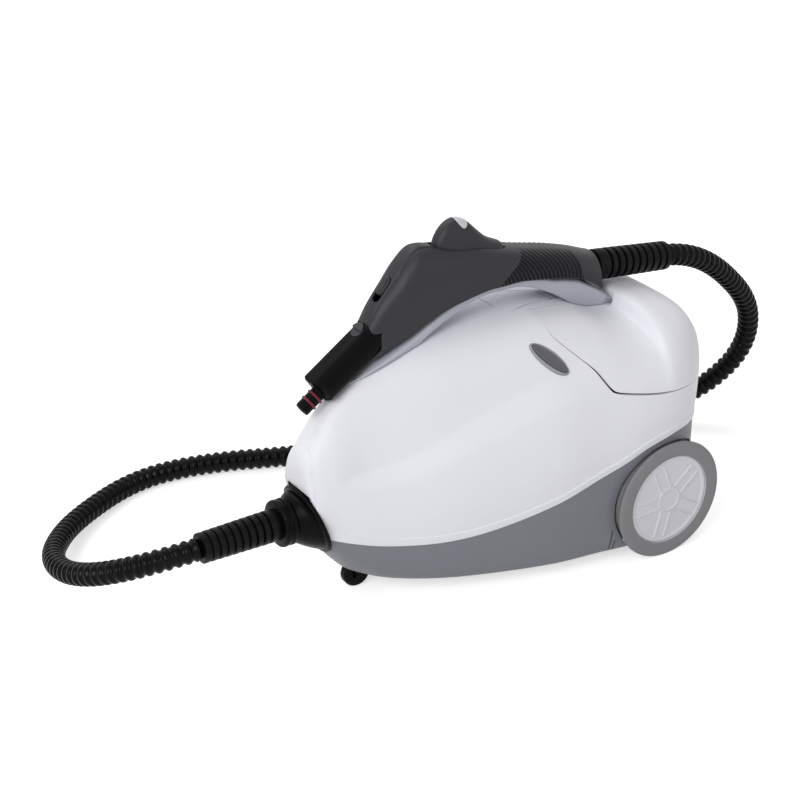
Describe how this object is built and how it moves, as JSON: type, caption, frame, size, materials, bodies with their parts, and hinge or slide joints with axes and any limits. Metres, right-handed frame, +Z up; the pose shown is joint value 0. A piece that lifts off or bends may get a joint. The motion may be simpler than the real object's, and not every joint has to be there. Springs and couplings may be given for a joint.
{
  "type": "canister steam cleaner",
  "caption": "Wheeled canister steam cleaner with a domed boiler housing, an arched carry handle, a ribbed steam hose and a trigger gun parked on the handle.",
  "frame": {"origin": "floor under the middle of the machine, hose and its sleeves left out", "axes": "+X from the nose to the rear wheels, +Y to the right side, +Z up"},
  "size_m": [0.779, 0.4031, 0.3441],
  "materials": {
    "shell_white": "glossy moulded white",
    "base_grey": "fine satin texture",
    "handle_grey": "satin blue-grey",
    "hub_pale": "satin pale grey",
    "wheel_tyre": "soft grey tread",
    "gun_charcoal": "satin charcoal",
    "black_plastic": "satin black",
    "hose_black": "glossy ribbed black",
    "sleeve_black": "soft ribbed black",
    "insert_silver": "bright silver white",
    "seal_red": "soft red",
    "steel": "brushed",
    "brass": "machined",
    "button_grey": "satin dark grey",
    "bezel_grey": "satin grey"
  },
  "bodies": {
    "root": {"base_tub": "base_grey", "upper_shell": "shell_white", "flap_pin": "steel", "carry_handle": "handle_grey", "nose_grommet": "black_plastic", "hose_coupling": "black_plastic", "nose_cuff": "sleeve_black", "hose": "hose_black", "axle": "steel", "axle_clips": "steel", "caster_bush": "black_plastic", "boiler": "steel", "boiler_bracket_front": "steel", "boiler_bracket_rear": "steel", "heating_element": "steel", "thermostat": "black_plastic", "safety_valve": "brass", "solenoid_valve": "brass", "inlet_pipe": "steel", "outlet_pipe": "steel", "cap_seal": "seal_red", "button_bezel": "bezel_grey", "switch_body": "black_plastic", "cord_gland": "black_plastic", "bracket_screws": "steel", "accessory_tray": "shell_white"},
    "gun": {"gun_cuff": "sleeve_black", "gun_left_half": "gun_charcoal", "gun_right_half": "gun_charcoal", "trigger_pin": "steel", "trigger_spring": "steel", "barrel_sleeve": "black_plastic", "nozzle_tube": "black_plastic", "nozzle_o_rings": "seal_red", "steam_valve": "brass", "gun_steam_tube": "sleeve_black"},
    "trigger": {"thumb_trigger": "gun_charcoal", "trigger_insert": "insert_silver"},
    "lock": {"lock_button": "black_plastic"},
    "latch": {"barrel_latch": "gun_charcoal"},
    "power": {"power_button": "button_grey"},
    "cover": {"rear_cover": "shell_white"},
    "flap": {"filler_flap": "shell_white"},
    "cap": {"safety_cap": "black_plastic"},
    "left_wheel": {"wheel_core_left": "hub_pale", "tyre_left": "wheel_tyre", "hub_cap_left": "hub_pale"},
    "right_wheel": {"wheel_core_right": "hub_pale", "tyre_right": "wheel_tyre", "hub_cap_right": "hub_pale"},
    "caster_swivel": {"caster_fork": "black_plastic", "caster_axle": "steel"},
    "caster_roller": {"caster_wheel": "black_plastic"}
  },
  "joints": [
    {"name": "gun_lift", "type": "slide", "parent": "root", "child": "gun", "axis": [0, 0, 1], "range_m": [0, 0.08]},
    {"name": "trigger_press", "type": "hinge", "parent": "gun", "child": "trigger", "pos_m": [0.029, 0, 0.301], "axis": [0, -1, 0], "range_deg": [0, 8], "stiffness_Nm_per_rad": 2, "springref_deg": -6.88, "deforming": ["trigger_spring"]},
    {"name": "lock_slide", "type": "slide", "parent": "gun", "child": "lock", "axis": [-0.6549, 0, -0.7557], "range_m": [0, 0.006]},
    {"name": "latch_press", "type": "slide", "parent": "gun", "child": "latch", "axis": [0.5664, 0, -0.8241], "range_m": [0, 0.002], "stiffness_N_per_m": 400, "springref_m": -0.002},
    {"name": "power_press", "type": "slide", "parent": "root", "child": "power", "axis": [0, 0.7431, -0.6691], "range_m": [0, 0.0025], "stiffness_N_per_m": 400, "springref_m": -0.002},
    {"name": "rear_cover_slide", "type": "slide", "parent": "root", "child": "cover", "axis": [1, 0, 0], "range_m": [0, 0.02]},
    {"name": "flap_hinge", "type": "hinge", "parent": "root", "child": "flap", "pos_m": [0.079, 0, 0.23891], "axis": [0, 1, 0], "range_deg": [0, 14]},
    {"name": "cap_turn", "type": "hinge", "parent": "root", "child": "cap", "pos_m": [0.046, 0, 0.236], "axis": [0, 0, 1], "continuous": true},
    {"name": "left_wheel_spin", "type": "hinge", "parent": "root", "child": "left_wheel", "pos_m": [0.151, -0.106, 0.06], "axis": [0, 1, 0], "continuous": true},
    {"name": "right_wheel_spin", "type": "hinge", "parent": "root", "child": "right_wheel", "pos_m": [0.151, 0.106, 0.06], "axis": [0, 1, 0], "continuous": true},
    {"name": "caster_turn", "type": "hinge", "parent": "root", "child": "caster_swivel", "pos_m": [-0.12, 0, 0.04], "axis": [0, 0, 1], "continuous": true},
    {"name": "caster_spin", "type": "hinge", "parent": "caster_swivel", "child": "caster_roller", "pos_m": [-0.128, 0, 0.014], "axis": [0, 1, 0], "continuous": true}
  ]
}
